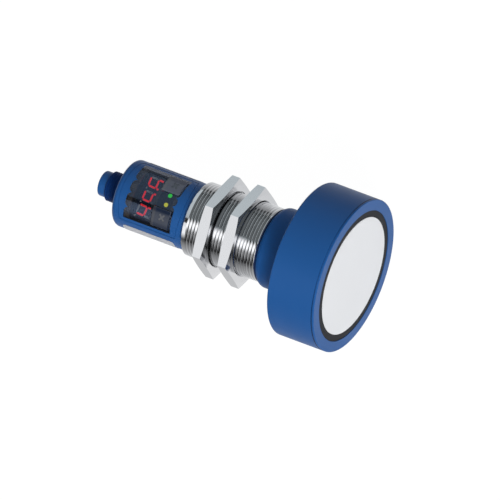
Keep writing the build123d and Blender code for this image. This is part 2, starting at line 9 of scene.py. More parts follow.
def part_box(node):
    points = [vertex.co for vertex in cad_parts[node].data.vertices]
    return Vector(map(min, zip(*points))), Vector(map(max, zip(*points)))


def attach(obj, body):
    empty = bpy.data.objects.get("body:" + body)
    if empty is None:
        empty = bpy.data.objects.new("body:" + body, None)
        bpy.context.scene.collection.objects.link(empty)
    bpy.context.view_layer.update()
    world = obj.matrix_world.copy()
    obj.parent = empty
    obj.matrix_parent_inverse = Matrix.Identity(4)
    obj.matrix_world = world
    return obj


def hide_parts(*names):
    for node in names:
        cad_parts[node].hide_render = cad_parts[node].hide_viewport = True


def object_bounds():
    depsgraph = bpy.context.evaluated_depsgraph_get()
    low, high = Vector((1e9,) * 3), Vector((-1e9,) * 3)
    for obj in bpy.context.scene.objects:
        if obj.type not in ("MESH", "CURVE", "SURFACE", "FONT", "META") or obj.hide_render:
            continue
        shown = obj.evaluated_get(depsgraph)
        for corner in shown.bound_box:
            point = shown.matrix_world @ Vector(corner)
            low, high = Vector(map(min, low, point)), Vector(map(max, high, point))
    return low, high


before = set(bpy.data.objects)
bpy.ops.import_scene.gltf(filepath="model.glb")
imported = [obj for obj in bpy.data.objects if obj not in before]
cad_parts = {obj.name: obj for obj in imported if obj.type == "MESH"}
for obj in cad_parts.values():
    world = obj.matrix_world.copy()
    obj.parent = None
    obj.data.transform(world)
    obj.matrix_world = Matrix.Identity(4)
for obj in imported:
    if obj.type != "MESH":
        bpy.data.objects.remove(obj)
cad_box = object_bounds()

MM = 0.001

# Real sizes in millimetres, the same as in the part's source
HEAD_RADIUS = 31.1
BARREL_WALL = 1.8
HOUSING_RADIUS = 13.5
WINDOW_THICKNESS = 0.9
END_WALL = 2.5
CONNECTOR_RADIUS = 6.0
CONNECTOR_NOSE_RADIUS = 5.05
CONNECTOR_NOSE_LENGTH = 3.65
CONNECTOR_STEM_RADIUS = 5.5
SOCKET_RADIUS = 4.3
KEY_Y = 6.825

# Places along the sensor's axis and radii in millimetres, read from the solids
barrel_low, barrel_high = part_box("barrel_sleeve")
shell_low, shell_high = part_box("connector_shell")
display_low, display_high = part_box("display_module")
BARREL_REAR_X = barrel_low.x / MM
BARREL_FRONT_X = barrel_high.x / MM
BARREL_RADIUS = barrel_high.z / MM
BARREL_BORE = BARREL_RADIUS - BARREL_WALL
HOUSING_REAR_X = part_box("rear_housing")[0].x / MM
END_WALL_X = HOUSING_REAR_X + END_WALL
WINDOW_INSIDE = HOUSING_RADIUS - WINDOW_THICKNESS
CONNECTOR_REAR_X = shell_low.x / MM
CONNECTOR_FLANGE_RADIUS = shell_high.z / MM
NOSE_FRONT_X = CONNECTOR_REAR_X + CONNECTOR_NOSE_LENGTH
CARRIER_FRONT_X = shell_high.x / MM
DISPLAY_X = (display_low.x + display_high.x) / 2 / MM
DISPLAY_TOP = display_high.z / MM
REAR_NUT_FRONT_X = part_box("rear_nut")[1].x / MM
HEAD_FRONT_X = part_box("head_housing")[1].x / MM

# Places of marks, of changes of colour and of painted shade, in millimetres
MARK_X = -25.6
MARK_LENGTH = 3.1
MARK_WIDTH = 0.8
KEY_BAND_X = -28.7
SHIELD_BAND_X = -29.7
WINDOW_PAINTED_REFLECTION_Y = 9.5
LIGHT_X = -25.85
HOUSING_SKIN = 0.2
HEAD_SEAM_HALF = 0.22
NUT_BORE_SHADE = 0.12
THREAD_SHADE = (-0.1, 0.5)


def add_object(name, data):
    """Put new data into the scene as an object at the origin."""
    made = bpy.data.objects.new(name, data)
    bpy.context.scene.collection.objects.link(made)
    return made


# Camera: a parallel view, with a place on the axis near the face at the pixel where the photo has it
PIXELS = 500
PIXELS_PER_METRE = 2600
AIM_PLACE = Vector((0.05235, 0, 0))
AIM_PIXEL = (353.4, 275.9)
CAMERA_DISTANCE = 0.5
view_back = Vector((0.382, -0.1445, 0.9127)).normalized()
view_right = Vector((0.8661, 0.4004, -0.2991))
view_right = (view_right - view_back * view_right.dot(view_back)).normalized()
view_up = view_back.cross(view_right)
offset_right = (AIM_PIXEL[0] - PIXELS / 2) / PIXELS_PER_METRE
offset_up = (PIXELS / 2 - AIM_PIXEL[1]) / PIXELS_PER_METRE
camera_data = bpy.data.cameras.new("camera")
camera_data.type = "ORTHO"
camera_data.ortho_scale = PIXELS / PIXELS_PER_METRE
camera_data.clip_start = 0.01
camera_data.clip_end = 5
camera = add_object("camera", camera_data)
camera_place = AIM_PLACE - view_right * offset_right - view_up * offset_up + view_back * CAMERA_DISTANCE
camera_turn = Matrix((view_right, view_up, view_back)).transposed().to_4x4()
camera.matrix_world = Matrix.Translation(camera_place) @ camera_turn
bpy.context.scene.camera = camera
bpy.context.scene.view_settings.view_transform = "Standard"


def linear(red, green, blue):
    """Scene colour of a colour given in 0 to 255 as a screen shows it, by the usual curve of screens."""
    shown = np.array((red, green, blue)) / 255
    values = np.where(shown <= 0.04045, shown / 12.92, ((shown + 0.055) / 1.055) ** 2.4)
    return (*values.tolist(), 1.0)


# Shader helpers


def feed(tree, socket, value):
    """Link a socket to an input, or set the input to a plain value."""
    if isinstance(value, bpy.types.NodeSocket):
        tree.links.new(value, socket)
    else:
        socket.default_value = value


def math_node(tree, operation, first, second=0.0, clamp=False):
    """A Math node whose inputs are sockets or plain numbers."""
    node = tree.nodes.new("ShaderNodeMath")
    node.operation = operation
    node.use_clamp = clamp
    feed(tree, node.inputs[0], first)
    feed(tree, node.inputs[1], second)
    return node.outputs[0]


def mix_color(tree, factor, first, second):
    """A colour mix whose inputs are sockets or plain values, the node's own sockets 0, 6 and 7."""
    node = tree.nodes.new("ShaderNodeMix")
    node.data_type = "RGBA"
    feed(tree, node.inputs[0], factor)
    feed(tree, node.inputs[6], first)
    feed(tree, node.inputs[7], second)
    return node.outputs[2]


def noise(tree, vector, scale, detail):
    """A Noise Texture's value on the given coordinates."""
    node = tree.nodes.new("ShaderNodeTexNoise")
    node.inputs["Detail"].default_value = detail
    feed(tree, node.inputs["Scale"], scale)
    tree.links.new(vector, node.inputs["Vector"])
    return node.outputs["Fac"]


def new_group(name, inputs, outputs):
    """Start a node group with named float, colour or vector sockets; gives it and its two end nodes."""
    group = bpy.data.node_groups.new(name, "ShaderNodeTree")
    kinds = {"float": "NodeSocketFloat", "color": "NodeSocketColor", "vector": "NodeSocketVector"}
    for socket_name, kind, value in inputs:
        socket = group.interface.new_socket(socket_name, in_out="INPUT", socket_type=kinds[kind])
        socket.default_value = value
    for socket_name, kind in outputs:
        group.interface.new_socket(socket_name, in_out="OUTPUT", socket_type=kinds[kind])
    return group, group.nodes.new("NodeGroupInput"), group.nodes.new("NodeGroupOutput")


def new_mask(name, inputs):
    """Start a node group that turns the place on the object into a mask.

    Gives the group, its float inputs, the place's X, Y and Z, and the socket that the mask goes to.
    """
    float_inputs = [(socket_name, "float", value) for socket_name, value in inputs.items()]
    group, group_in, group_out = new_group(name, float_inputs, (("Mask", "float"),))
    separate = group.nodes.new("ShaderNodeSeparateXYZ")
    coordinates = group.nodes.new("ShaderNodeTexCoord").outputs["Object"]
    group.links.new(coordinates, separate.inputs[0])
    return group, group_in.outputs, separate.outputs, group_out.inputs["Mask"]


# Moulded surface: a slow change of tone, a fine grain in the gloss and a shallow grain in the height
SLOW_SCALE = 60
BUMP_DISTANCE = 0.00003
moulded_grain, group_in, group_out = new_group(
    "moulded_grain",
    (
        ("Color", "color", (0.5, 0.5, 0.5, 1)),
        ("Tone Change", "float", 0.05),
        ("Roughness", "float", 0.4),
        ("Roughness Change", "float", 0.06),
        ("Grain Scale", "float", 3000.0),
        ("Grain Height", "float", 0.15),
    ),
    (("Color", "color"), ("Roughness", "float"), ("Normal", "vector")),
)
coordinates = moulded_grain.nodes.new("ShaderNodeTexCoord").outputs["Object"]
slow = noise(moulded_grain, coordinates, SLOW_SCALE, detail=3)
fine = noise(moulded_grain, coordinates, group_in.outputs["Grain Scale"], detail=2)
swing = math_node(moulded_grain, "SUBTRACT", slow, 0.5)
swing = math_node(moulded_grain, "MULTIPLY", swing, group_in.outputs["Tone Change"])
toned = moulded_grain.nodes.new("ShaderNodeVectorMath")
toned.operation = "SCALE"
moulded_grain.links.new(group_in.outputs["Color"], toned.inputs[0])
moulded_grain.links.new(math_node(moulded_grain, "ADD", swing, 1.0), toned.inputs["Scale"])
moulded_grain.links.new(toned.outputs[0], group_out.inputs["Color"])
swing = math_node(moulded_grain, "SUBTRACT", fine, 0.5)
swing = math_node(moulded_grain, "MULTIPLY", swing, group_in.outputs["Roughness Change"])
rough = math_node(moulded_grain, "ADD", swing, group_in.outputs["Roughness"], clamp=True)
moulded_grain.links.new(rough, group_out.inputs["Roughness"])
bump = moulded_grain.nodes.new("ShaderNodeBump")
bump.inputs["Distance"].default_value = BUMP_DISTANCE
moulded_grain.links.new(group_in.outputs["Grain Height"], bump.inputs["Strength"])
moulded_grain.links.new(fine, bump.inputs["Height"])
moulded_grain.links.new(bump.outputs["Normal"], group_out.inputs["Normal"])

# Inside of a tube: a mask that is one nearer to the axis than a radius and in front of a place along it
FAR_BEHIND = -1.0
inside_radius, given, place, mask = new_mask(
    "inside_radius", {"Radius": HOUSING_RADIUS * MM, "Rear End": FAR_BEHIND}
)
squared = math_node(
    inside_radius,
    "ADD",
    math_node(inside_radius, "MULTIPLY", place["Y"], place["Y"]),
    math_node(inside_radius, "MULTIPLY", place["Z"], place["Z"]),
)
near = math_node(inside_radius, "LESS_THAN", math_node(inside_radius, "SQRT", squared), given["Radius"])
ahead = math_node(inside_radius, "GREATER_THAN", place["X"], given["Rear End"])
inside_radius.links.new(math_node(inside_radius, "MULTIPLY", near, ahead), mask)

# Past a place: a mask that is one where X times Along plus Y times Across is more than a place
past_place, given, place, mask = new_mask("past_place", {"Along": 0.0, "Across": 0.0, "Place": 0.0})
way = math_node(
    past_place,
    "ADD",
    math_node(past_place, "MULTIPLY", place["X"], given["Along"]),
    math_node(past_place, "MULTIPLY", place["Y"], given["Across"]),
)
past_place.links.new(math_node(past_place, "GREATER_THAN", way, given["Place"]), mask)

# Painted seam shade: past a place along X, a mask of 0.2 + 0.8 (Y / Radius) squared, deepest on the two
# sides
SEAM_MIDDLE_SHADE = 0.2
seam_painted_shade, given, place, mask = new_mask(
    "seam_painted_shade", {"Along": 1.0, "Place": 0.0, "Radius": HEAD_RADIUS * MM}
)
way = math_node(seam_painted_shade, "MULTIPLY", place["X"], given["Along"])
past = math_node(seam_painted_shade, "GREATER_THAN", way, given["Place"])
share = math_node(seam_painted_shade, "DIVIDE", place["Y"], given["Radius"])
share = math_node(seam_painted_shade, "MULTIPLY", share, share)
share = math_node(seam_painted_shade, "MULTIPLY", share, 1 - SEAM_MIDDLE_SHADE)
share = math_node(seam_painted_shade, "ADD", share, SEAM_MIDDLE_SHADE)
seam_painted_shade.links.new(math_node(seam_painted_shade, "MULTIPLY", past, share), mask)

# Cross: a mask that is one on two crossed bars, as pressed into each key
DIAGONAL = math.sqrt(0.5)
cross_mark, given, place, mask = new_mask(
    "cross_mark",
    {"Center X": 0.0, "Center Y": 0.0, "Length": MARK_LENGTH * MM, "Width": MARK_WIDTH * MM},
)
along = math_node(cross_mark, "SUBTRACT", place["X"], given["Center X"])
across = math_node(cross_mark, "SUBTRACT", place["Y"], given["Center Y"])
half_length = math_node(cross_mark, "MULTIPLY", given["Length"], 0.5)
half_width = math_node(cross_mark, "MULTIPLY", given["Width"], 0.5)
rising, falling = (
    math_node(
        cross_mark,
        "ABSOLUTE",
        math_node(cross_mark, "MULTIPLY", math_node(cross_mark, operation, along, across), DIAGONAL),
    )
    for operation in ("ADD", "SUBTRACT")
)
rising_bar, falling_bar = (
    math_node(
        cross_mark,
        "MULTIPLY",
        math_node(cross_mark, "LESS_THAN", lengthways, half_length),
        math_node(cross_mark, "LESS_THAN", sideways, half_width),
    )
    for lengthways, sideways in ((rising, falling), (falling, rising))
)
cross_mark.links.new(math_node(cross_mark, "MAXIMUM", rising_bar, falling_bar), mask)


# Finishes of the solids and of the new pieces


def material(
    name, color, roughness=0.4, metallic=0.0, tone=0.05, change=0.06, scale=3000.0, height=0.15, **sockets
):
    """A Principled material with the moulded grain in its colour, gloss and height."""
    made = bpy.data.materials.new(name)
    made.use_nodes = True
    tree = made.node_tree
    shader = tree.nodes["Principled BSDF"]
    group = tree.nodes.new("ShaderNodeGroup")
    group.node_tree = moulded_grain
    group.inputs["Color"].default_value = color
    group.inputs["Tone Change"].default_value = tone
    group.inputs["Roughness"].default_value = roughness
    group.inputs["Roughness Change"].default_value = change
    group.inputs["Grain Scale"].default_value = scale
    group.inputs["Grain Height"].default_value = height
    tree.links.new(group.outputs["Color"], shader.inputs["Base Color"])
    tree.links.new(group.outputs["Roughness"], shader.inputs["Roughness"])
    tree.links.new(group.outputs["Normal"], shader.inputs["Normal"])
    shader.inputs["Metallic"].default_value = metallic
    for socket, value in sockets.items():
        shader.inputs[socket.replace("_", " ")].default_value = value
    return made


def masked(made, mask_tree, second_color, **values):
    """Give a material one more colour where a mask group, set to the given values, is one."""
    tree = made.node_tree
    grain_color = next(node for node in tree.nodes if node.type == "GROUP").inputs["Color"]
    mask_group = tree.nodes.new("ShaderNodeGroup")
    mask_group.node_tree = mask_tree
    for socket, value in values.items():
        mask_group.inputs[socket.replace("_", " ")].default_value = value
    linked = grain_color.is_linked
    first_color = grain_color.links[0].from_socket if linked else tuple(grain_color.default_value)
    tree.links.new(mix_color(tree, mask_group.outputs["Mask"], first_color, second_color), grain_color)
    return made


BLUE = (0.008, 0.077, 0.261, 1)
# Painted shade: a darker blue for the connector thread, in the shadow of the housing's rear rim
CONNECTOR_PAINTED_SHADE_BLUE = (0.003, 0.026, 0.12, 1)
# Painted shade in the seam between head and bezel
SEAM_PAINTED_SHADE_BLUE = (0.0005, 0.004, 0.015, 1)
INSIDE_BROWN = (0.1, 0.088, 0.075, 1)
NICKEL = (0.625, 0.63, 0.645, 1)
# Painted shade at the edge of the nuts' bores
NUT_BORE_PAINTED_SHADE = (0.02, 0.02, 0.022, 1)
# Painted shadow on the thread in the gap just in front of the rear nut
THREAD_PAINTED_SHADE = (0.012, 0.012, 0.014, 1)


def blue_moulding(name, reflection=0.27):
    """The blue plastic of the housings, with the strength of its clear reflection."""
    return material(name, BLUE, 0.42, tone=0.06, height=0.2, Specular_IOR_Level=reflection)


def nickel_plate(name):
    """Bright nickel with hardly any grain."""
    return material(name, NICKEL, 0.1, 1.0, tone=0.02, change=0.03, scale=1500, height=0.01)


# Blue plastic: head and bezel carry painted shade on both sides of their seam, and the rear housing is
# brown inside
blue_plastic = blue_moulding("blue_plastic")
neck_plastic = blue_moulding("neck_plastic", 0.14)
# Connector thread: the same blue darkened as painted shade, for the shadow of the housing's rear rim on it
connector_painted_shade_plastic = material("connector_painted_shade_plastic", CONNECTOR_PAINTED_SHADE_BLUE, 0.5, tone=0.06, height=0.2, Specular_IOR_Level=0.05)
head_plastic = masked(
    blue_moulding("head_plastic"),
    seam_painted_shade,
    SEAM_PAINTED_SHADE_BLUE,
    Along=1.0,
    Place=(HEAD_FRONT_X - HEAD_SEAM_HALF) * MM,
)
bezel_plastic = masked(
    blue_moulding("bezel_plastic"),
    seam_painted_shade,
    SEAM_PAINTED_SHADE_BLUE,
    Along=-1.0,
    Place=-(HEAD_FRONT_X + HEAD_SEAM_HALF) * MM,
)
housing_plastic = masked(
    blue_moulding("housing_plastic"),
    inside_radius,
    INSIDE_BROWN,
    Radius=(HOUSING_RADIUS - HOUSING_SKIN) * MM,
    Rear_End=END_WALL_X * MM,
)

# Nickel: painted shade round the edge of each nut's bore, and a painted shadow in the gap on the thread
# just in front of the rear nut
nickel = nickel_plate("nickel")
nickel_painted_bore_shade = masked(
    nickel_plate("nickel_painted_bore_shade"),
    inside_radius,
    NUT_BORE_PAINTED_SHADE,
    Radius=(BARREL_RADIUS + NUT_BORE_SHADE) * MM,
)
nickel_painted_gap_shade = nickel_plate("nickel_painted_gap_shade")
for shade_end, shade_color in zip(THREAD_SHADE, (THREAD_PAINTED_SHADE, NICKEL)):
    masked(nickel_painted_gap_shade, past_place, shade_color, Along=1.0, Place=(REAR_NUT_FRONT_X + shade_end) * MM)

# Window: a smoked cover that reflects bluish, with a painted paler reflection along its +Y side
smoked_window = masked(
    material(
        "smoked_window",
        linear(22, 25, 32),
        0.04,
        change=0.02,
        height=0.0,
        Alpha=0.42,
        IOR=1.65,
        Specular_IOR_Level=1.0,
        Specular_Tint=(0.46, 0.62, 0.95, 1),
    ),
    past_place,
    (0.42, 0.43, 0.5, 1),
    Across=1.0,
    Place=WINDOW_PAINTED_REFLECTION_Y * MM,
)

# Light shield: black film, paler at the display
shield_film = masked(
    material("shield_film", linear(6, 8, 14), 0.6, Specular_IOR_Level=0.1),
    past_place,
    (0.075, 0.07, 0.055, 1),
    Along=-1.0,
    Place=-SHIELD_BAND_X * MM,
)


def key_finish(name, side, shade, band_shade, mark_shade):
    """Dark key on the -Y or +Y side, with a rear band of another shade and a cross pressed into it."""
    made = material(name + "_finish", linear(*shade), 0.14, tone=0.1, height=0.05, Specular_IOR_Level=0.5)
    masked(made, past_place, linear(*band_shade), Along=-1.0, Place=-KEY_BAND_X * MM)
    mark_place = {"Center_X": MARK_X * MM, "Center_Y": side * KEY_Y * MM}
    return masked(made, cross_mark, linear(*mark_shade), **mark_place)


def lit_finish(name, color, roughness, glow, strength):
    """A finish that shines by itself: a lit spot or a lit bar."""
    return material(name, color, roughness, Emission_Color=glow, Emission_Strength=strength)


foam = material("foam", linear(46, 47, 50), 0.9, tone=0.3, scale=5000, height=0.8, Specular_IOR_Level=0.25)
radiating_face = material("radiating_face", linear(213, 214, 216), 0.6, tone=0.02, height=0.05)
ceramic = material("ceramic", (0.6, 0.6, 0.58, 1), 0.35, 1.0)
seal_rubber = material("seal_rubber", linear(24, 24, 26), 0.8, height=0.3)
blue_seal = material("blue_seal", linear(16, 38, 78), 0.7, height=0.3)
display_face = material("display_face", (0.001, 0.0107, 0.055, 1), 0.5, Specular_IOR_Level=0.1)
segment_grey = material("segment_grey", linear(232, 238, 242), 0.4)
circuit_board = material("circuit_board", linear(34, 82, 56), 0.35, tone=0.2)
component_black = material("component_black", linear(34, 34, 36), 0.5)
component_metal = material("component_metal", (0.72, 0.73, 0.74, 1), 0.25, 1.0)
copper_wire = material("copper_wire", linear(170, 46, 36), 0.45)
gold_contact = material("gold_contact", (0.83, 0.62, 0.25, 1), 0.2, 1.0)
label_film = material("label_film", linear(171, 172, 177), 0.45, tone=0.02, height=0.05)
green_light = lit_finish("green_light", linear(50, 139, 44), 0.3, linear(30, 196, 30), 2.05)
yellow_light = lit_finish("yellow_light", linear(139, 142, 40), 0.3, linear(192, 190, 14), 1.95)
segment_lit = lit_finish("segment_lit", linear(200, 10, 14), 0.4, (1.0, 0.0, 0.001, 1), 1.3)

finishes = {
    "front_bezel": bezel_plastic,
    "head_housing": head_plastic,
    "neck": neck_plastic,
    "rear_housing": housing_plastic,
    "decoupling_ring": foam,
    "transducer_backing": foam,
    "transducer_face": radiating_face,
    "piezo_disc": ceramic,
    "transducer_leads": copper_wire,
    "neck_seal": blue_seal,
    "front_oring": seal_rubber,
    "rear_oring": seal_rubber,
    "barrel_sleeve": nickel,
    "front_nut": nickel_painted_bore_shade,
    "rear_nut": nickel_painted_bore_shade,
    "window_cover": smoked_window,
    "key_1": key_finish("key_1", -1, (27, 37, 56), (46, 50, 61), (74, 76, 82)),
    "key_2": key_finish("key_2", 1, (74, 79, 94), (80, 84, 93), (64, 71, 82)),
    "tact_switch_1": component_metal,
    "tact_switch_2": component_metal,
    "tact_plunger_1": component_black,
    "tact_plunger_2": component_black,
    "main_board": circuit_board,
    "display_module": display_face,
    "display_segments": segment_grey,
    "status_leds": segment_grey,
    "light_guide_green": segment_grey,
    "light_guide_yellow": segment_grey,
    "microcontroller": component_black,
    "transformer": component_metal,
    "capacitors": component_metal,
    "connector_shell": blue_plastic,
    "contact_carrier": component_black,
    "contact_pins": gold_contact,
    "type_label": label_film,
}
for node_name, node_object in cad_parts.items():
    node_object.data.materials.clear()
    node_object.data.materials.append(finishes[node_name])


# Mesh helpers

SHARP_ANGLE = 30.0
THREAD_SHARP_ANGLE = 20.0
WELD_STEP = 1e-4


def surface(name, vertices, faces, finish, body):
    """Make a piece from vertices in millimetres and faces, smooth but for edges past the sharp angle."""
    mesh = bpy.data.meshes.new(name)
    mesh.from_pydata((np.asarray(vertices) * MM).tolist(), [], faces)
    mesh.validate()
    mesh.shade_smooth()
    mesh.set_sharp_from_angle(angle=math.radians(SHARP_ANGLE))
    mesh.materials.append(finish)
    piece = add_object(name, mesh)
    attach(piece, body)
    return piece


def outward(piece, sharp=SHARP_ANGLE):
    """Turn every face of a closed piece to point out of it, and keep the edges past an angle sharp."""
    shape = bmesh.new()
    shape.from_mesh(piece.data)
    bmesh.ops.recalc_face_normals(shape, faces=shape.faces)
    shape.to_mesh(piece.data)
    shape.free()
    piece.data.set_sharp_from_angle(angle=math.radians(sharp))


def weld(vertices, faces):
    """Merge points that coincide and drop the faces and corners that vanish with them."""
    vertices = np.asarray(vertices, float).reshape(-1, 3)
    keys = np.round(vertices / WELD_STEP).astype(np.int64)
    _, first, new_index = np.unique(keys, axis=0, return_index=True, return_inverse=True)
    faces = new_index.reshape(-1)[np.asarray(faces)]
    kept = faces != np.roll(faces, 1, axis=1)
    corners = kept.sum(axis=1)
    quads = faces[corners == 4]
    triangles = faces[corners == 3][kept[corners == 3]].reshape(-1, 3)
    return vertices[first], quads.tolist() + triangles.tolist()


def full_turn(columns):
    """Equal steps of a full turn, without its end."""
    return np.linspace(0, 2 * math.pi, columns, endpoint=False)


def around(x, radius, turn):
    """Points at x, at a radius from the axis, turned from +Y towards +Z by the given angles."""
    x, radius, turn = np.broadcast_arrays(x, radius, turn)
    return np.stack((x, radius * np.cos(turn), radius * np.sin(turn)), axis=-1)


def grid_faces(rows, columns):
    """Quads between the rows and columns of a grid of points."""
    row, column = np.meshgrid(np.arange(rows - 1), np.arange(columns - 1), indexing="ij")
    start = (row * columns + column).reshape(-1)
    return np.stack((start, start + 1, start + columns + 1, start + columns), axis=-1)


def ring_faces(rows, columns, shift=0):
    """Quads between rows of a grid that closes round its columns, the last column shifted by some rows."""
    row = np.arange(rows - 1 - shift)
    last = row * columns + columns - 1
    first = (row + shift) * columns
    seam = np.stack((last, first, first + columns, last + columns), axis=-1)
    return np.concatenate((grid_faces(rows, columns), seam))


def lathe(profile, columns, name, finish, body):
    """Turn a closed profile of (x, r) points about the axis: (x, r cos a, r sin a) for each angle a."""
    profile = np.asarray(profile, float)
    points = around(profile[:, :1], profile[:, 1:], full_turn(columns)[None, :])
    faces = ring_faces(len(profile) + 1, columns) % (len(profile) * columns)
    return surface(name, points.reshape(-1, 3), faces.tolist(), finish, body)


def threaded(front_x, rear_x, radius, pitch, depth, rear_land, chamfers, columns):
    """Outer surface of a right-hand thread as rows of points, with the number of rows in a pitch.

    Row i stands at x = pitch * (place of i in the pitch + turn / 2 pi), held between the two ends, and the
    rows are closest at the crest. Its radius is the crest radius less depth times a share that grows with
    the way q from the crest to the root: from q = 0.04 the slope rises evenly up to q = 0.24 and stays the
    same down to a sharp root at q = 1. The groove fades out over half a pitch at the front end and at the
    rear land, and the two ends have chamfers.
    """
    crest_to_root = np.array((0, 0.02, 0.045, 0.075, 0.12, 0.3, 0.5))
    places = np.concatenate((crest_to_root, 1 - crest_to_root[-2:0:-1]))
    turns = np.arange(math.floor(rear_x / pitch) - 1, math.ceil(front_x / pitch) + 1)
    place = (turns[:, None] + places[None, :]).reshape(-1, 1)
    turn = full_turn(columns)[None, :]
    x = np.clip(pitch * (place + turn / (2 * math.pi)), rear_x, front_x)
    phase = x / pitch - turn / (2 * math.pi)
    way = 2 * np.abs(phase - np.round(phase))
    flat = 0.04
    rounding = 0.2
    rise = np.clip(way - flat, 0, rounding)
    slope = np.maximum(way - flat - rounding, 0)
    groove = depth * (rise**2 / (2 * rounding) + slope) / (1 - flat - rounding / 2)
    fade_front = np.clip((front_x - x) / (0.5 * pitch), 0, 1)
    fade_rear = np.clip((x - rear_x - rear_land) / (0.5 * pitch), 0, 1)
    level = radius - groove * fade_front * fade_rear
    front_chamfer, rear_chamfer = chamfers
    level = np.minimum(level, radius - np.maximum(front_chamfer - (front_x - x), 0))
    level = np.minimum(level, radius - np.maximum(rear_chamfer - (x - rear_x), 0))
    return around(x, level, turn), len(places)


def threaded_tube(name, thread, rear_x, front_x, bore, finish, body):
    """Close a threaded surface with a flat ring at its rear and at its front and with a round bore."""
    rows, shift = thread
    count, columns = rows.shape[:2]
    turn = full_turn(columns)
    rings = (around(rear_x, bore, turn), around(front_x, bore, turn))
    points = np.concatenate((rows.reshape(-1, 3), *rings))
    column = np.arange(columns)
    following = (column + 1) % columns
    rear = count * columns
    front = rear + columns
    top = (count - 1) * columns
    caps = [
        np.stack((column, following, rear + following, rear + column), axis=-1),
        np.stack((rear + column, rear + following, front + following, front + column), axis=-1),
        np.stack((front + column, front + following, top + following, top + column), axis=-1),
    ]
    points, faces = weld(points, np.concatenate([ring_faces(count, columns, shift)] + caps))
    piece = surface(name, points, faces, finish, body)
    outward(piece, THREAD_SHARP_ANGLE)
    return piece


# Barrel: M30 outer thread, drawn with the pitch and shallow ribs that show, and a plain land at its rear
barrel_thread = threaded_tube(
    "barrel_thread",
    threaded(
        front_x=BARREL_FRONT_X,
        rear_x=BARREL_REAR_X,
        radius=BARREL_RADIUS,
        pitch=1.33,
        depth=0.15,
        rear_land=1.5,
        chamfers=(0.1, 0.4),
        columns=300,
    ),
    BARREL_REAR_X,
    BARREL_FRONT_X,
    BARREL_BORE,
    nickel_painted_gap_shade,
    "sensor_body",
)
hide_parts("barrel_sleeve")

# Connector: M12x1 outer thread, and a second piece with the smooth nose, the stem and the flange inside
connector_thread = threaded_tube(
    "connector_thread",
    threaded(
        front_x=HOUSING_REAR_X,
        rear_x=NOSE_FRONT_X,
        radius=CONNECTOR_RADIUS,
        pitch=1.0,
        depth=0.16,
        rear_land=0.3,
        chamfers=(0.0, 0.3),
        columns=180,
    ),
    NOSE_FRONT_X,
    HOUSING_REAR_X,
    SOCKET_RADIUS,
    connector_painted_shade_plastic,
    "sensor_body",
)
NOSE_EDGE = 0.65
NOSE_COLUMNS = 96
EDGE_STEPS = 6
SLEEVE_RADIUS = SOCKET_RADIUS + 0.01
edge_turn = np.linspace(0, math.pi / 2, EDGE_STEPS)
edge_x = CONNECTOR_REAR_X + NOSE_EDGE * (1 - np.cos(edge_turn))
edge_radius = CONNECTOR_NOSE_RADIUS - NOSE_EDGE * (1 - np.sin(edge_turn))
nose_profile = [
    (CONNECTOR_REAR_X, SOCKET_RADIUS),
    *zip(edge_x, edge_radius),
    (NOSE_FRONT_X, CONNECTOR_NOSE_RADIUS),
    (NOSE_FRONT_X, SLEEVE_RADIUS),
    (HOUSING_REAR_X, SLEEVE_RADIUS),
    (HOUSING_REAR_X, CONNECTOR_STEM_RADIUS),
    (END_WALL_X, CONNECTOR_STEM_RADIUS),
    (END_WALL_X, CONNECTOR_FLANGE_RADIUS),
    (CARRIER_FRONT_X, CONNECTOR_FLANGE_RADIUS),
    (CARRIER_FRONT_X, SOCKET_RADIUS),
]
connector_nose = lathe(
    nose_profile, NOSE_COLUMNS, "connector_nose", blue_plastic, "sensor_body"
)
outward(connector_nose)
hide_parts("connector_shell")
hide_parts("connector_shell")

# Lit bars of the display, thin plates on the grey ones, each a hexagon with pointed ends
DIGIT_PITCH = 5.78
HALF_WIDTH = 1.79
HALF_HEIGHT = 3.4
BAR_HALF = 0.4
BAR_CORNERS = 6
BAR_GAP = 0.12
LIT_INSET = 0.04
PLATE_HALF = 0.02
SLANT = 0.07
flat_reach = HALF_WIDTH - BAR_GAP
upright_reach = HALF_HEIGHT / 2 - BAR_GAP

# Bars by their usual letters: place to the right and up, half length, and one where the bar lies flat
bars = {
    "a": (0, HALF_HEIGHT, flat_reach, 1),
    "g": (0, 0, flat_reach, 1),
    "d": (0, -HALF_HEIGHT, flat_reach, 1),
    "b": (HALF_WIDTH, HALF_HEIGHT / 2, upright_reach, 0),
    "f": (-HALF_WIDTH, HALF_HEIGHT / 2, upright_reach, 0),
    "c": (HALF_WIDTH, -HALF_HEIGHT / 2, upright_reach, 0),
    "e": (-HALF_WIDTH, -HALF_HEIGHT / 2, upright_reach, 0),
}
shown_bars = ((-1, "bcfg"), (0, "afgcd"), (1, "afgecd"))
lit = np.array([(digit, *bars[bar]) for digit, shown in shown_bars for bar in shown])
digit, right, up, reach, flat = lit.T[:, :, None]
lit_half = BAR_HALF - LIT_INSET
shoulder = reach - lit_half
along = np.concatenate((-reach, -shoulder, shoulder, reach, shoulder, -shoulder), axis=1)
across = lit_half * np.array((0, 1, 1, 0, -1, -1))[None, :]
height = up + np.where(flat > 0, across, along)
sideways = right + np.where(flat > 0, along, across)
bar_x = DISPLAY_X - height
bar_y = digit * DIGIT_PITCH + sideways + SLANT * height
levels = np.array((DISPLAY_TOP - PLATE_HALF, DISPLAY_TOP + PLATE_HALF))
lit_grid = np.broadcast_arrays(bar_x[:, None, :], bar_y[:, None, :], levels[None, :, None])
lit_points = np.stack(lit_grid, axis=-1).reshape(-1, 3)
corner = np.arange(BAR_CORNERS)
following = (corner + 1) % BAR_CORNERS
base = 2 * BAR_CORNERS * np.arange(len(lit))
sides = np.stack((corner, following, BAR_CORNERS + following, BAR_CORNERS + corner), axis=-1)
side_faces = (base[:, None, None] + sides[None]).reshape(-1, 4).tolist()
top_faces = (base[:, None] + BAR_CORNERS + corner[None]).tolist()
